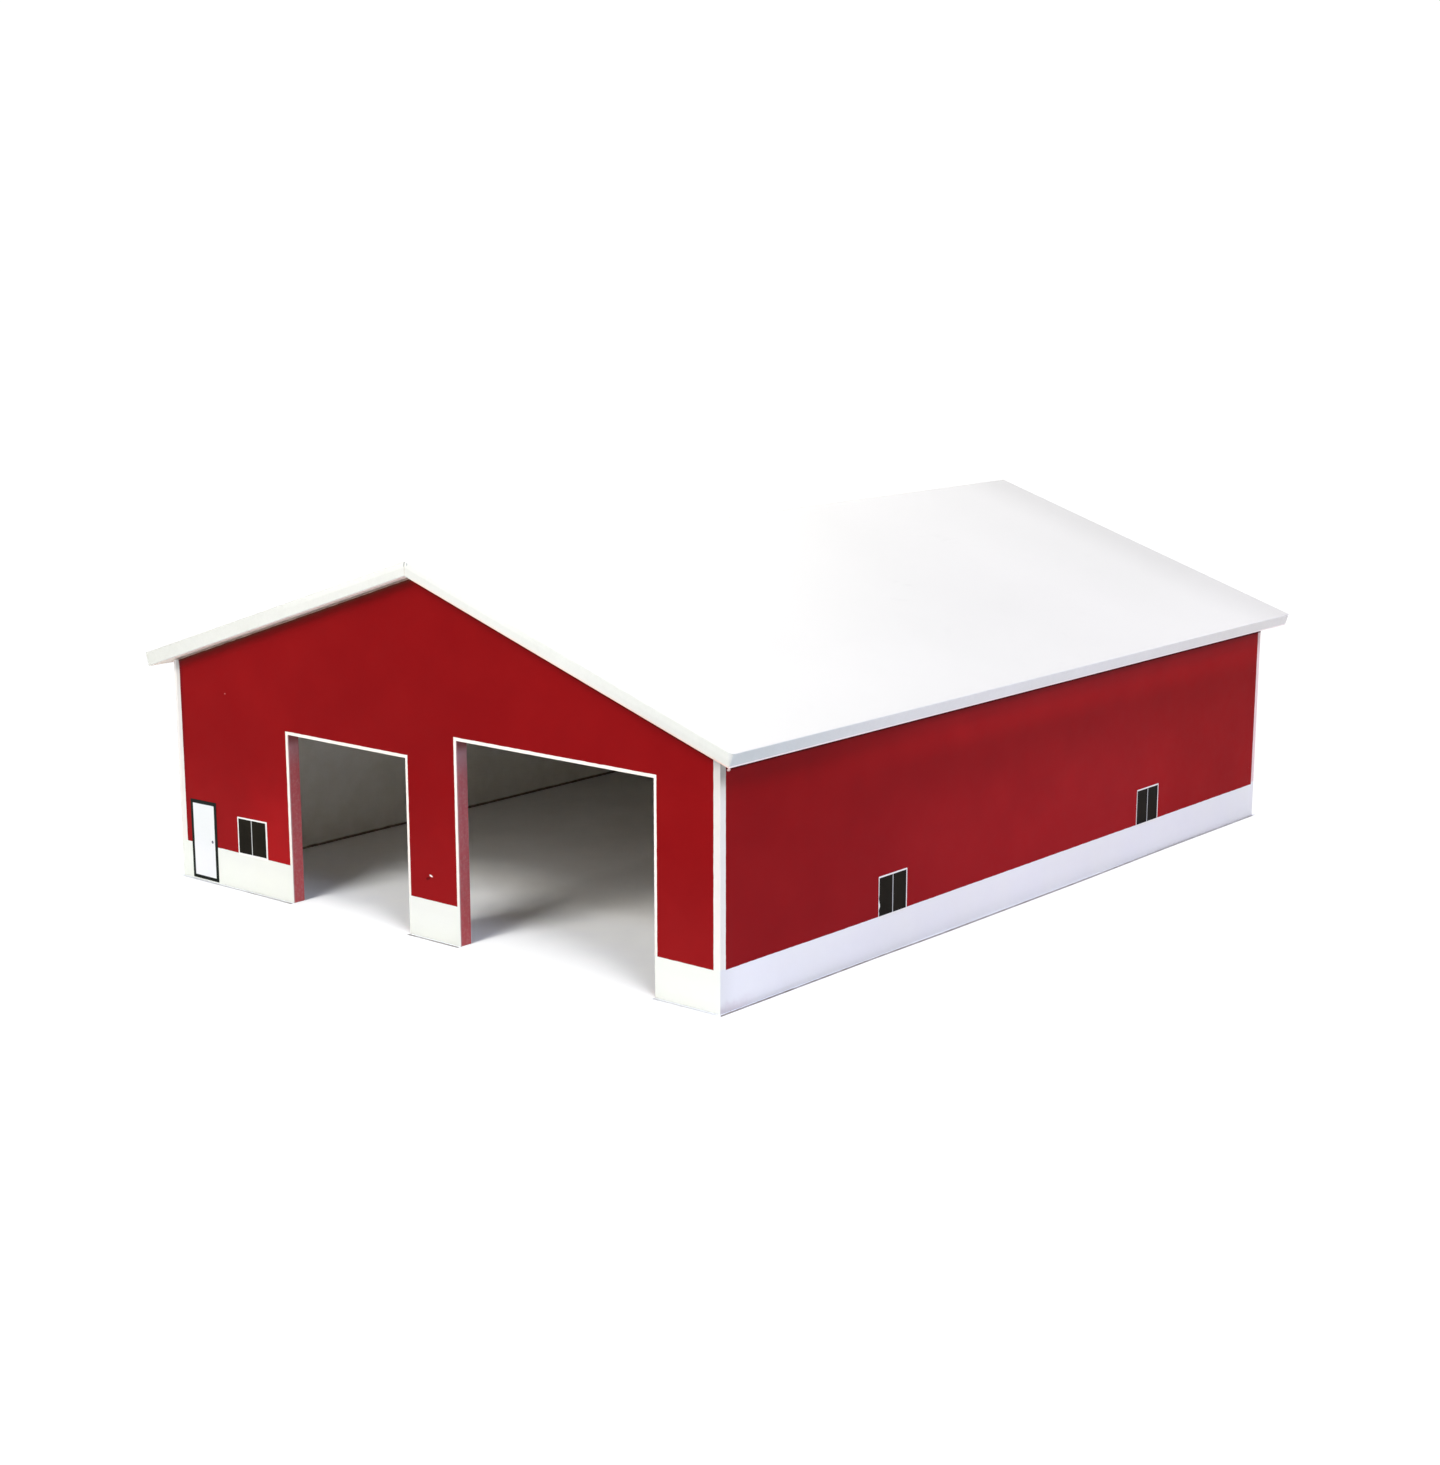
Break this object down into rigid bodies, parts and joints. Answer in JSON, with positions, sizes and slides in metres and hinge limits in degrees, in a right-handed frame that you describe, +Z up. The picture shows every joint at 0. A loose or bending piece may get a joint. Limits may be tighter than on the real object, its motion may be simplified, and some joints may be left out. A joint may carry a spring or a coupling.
{
  "type": "toy garage shed",
  "caption": "Red board toy shed with a white base band, open doorways in the gable, printed door and windows, and a white lift-off gable roof.",
  "frame": {"origin": "centre of the outline's base, on the surface that the shed stands on", "axes": "+Z up, +Y along the ridge towards the rear gable, +X across the gable towards the side with the large doorway; the front gable faces -Y"},
  "size_m": [0.3063, 0.3876, 0.1415],
  "materials": {
    "red_wall_paint": "satin red paint on thin board, white base band and trim, off-white inside",
    "white_roof_paint": "satin white paint on thin board",
    "bare_board": "bare fibreboard",
    "door_print": "satin printed film",
    "window_print": "satin printed film",
    "brad_steel": "bright wire"
  },
  "bodies": {
    "walls": {"corner_brad_front_left_1": "brad_steel", "corner_brad_front_left_2": "brad_steel", "corner_brad_front_left_3": "brad_steel", "corner_brad_front_right_1": "brad_steel", "corner_brad_front_right_2": "brad_steel", "corner_brad_front_right_3": "brad_steel", "corner_brad_rear_left_1": "brad_steel", "corner_brad_rear_left_2": "brad_steel", "corner_brad_rear_left_3": "brad_steel", "corner_brad_rear_right_1": "brad_steel", "corner_brad_rear_right_2": "brad_steel", "corner_brad_rear_right_3": "brad_steel", "entry_door_print": "door_print", "front_wall": "red_wall_paint", "front_window_print": "window_print", "left_wall": "red_wall_paint", "left_window_print_front": "window_print", "left_window_print_rear": "window_print", "rear_wall": "red_wall_paint", "right_wall": "red_wall_paint", "right_window_print_front": "window_print", "right_window_print_rear": "window_print"},
    "roof": {"ridge_batten": "bare_board", "roof_board_left": "white_roof_paint", "roof_board_right": "white_roof_paint", "roof_brad_front_left_1": "brad_steel", "roof_brad_front_left_2": "brad_steel", "roof_brad_front_left_3": "brad_steel", "roof_brad_front_right_1": "brad_steel", "roof_brad_front_right_2": "brad_steel", "roof_brad_front_right_3": "brad_steel", "roof_brad_rear_left_1": "brad_steel", "roof_brad_rear_left_2": "brad_steel", "roof_brad_rear_left_3": "brad_steel", "roof_brad_rear_right_1": "brad_steel", "roof_brad_rear_right_2": "brad_steel", "roof_brad_rear_right_3": "brad_steel", "roof_gusset_front": "bare_board", "roof_gusset_rear": "bare_board"}
  },
  "joints": [
    {"name": "roof_lift", "type": "slide", "parent": "walls", "child": "roof", "axis": [0, 0, 1], "range_m": [0, 0.12]}
  ]
}
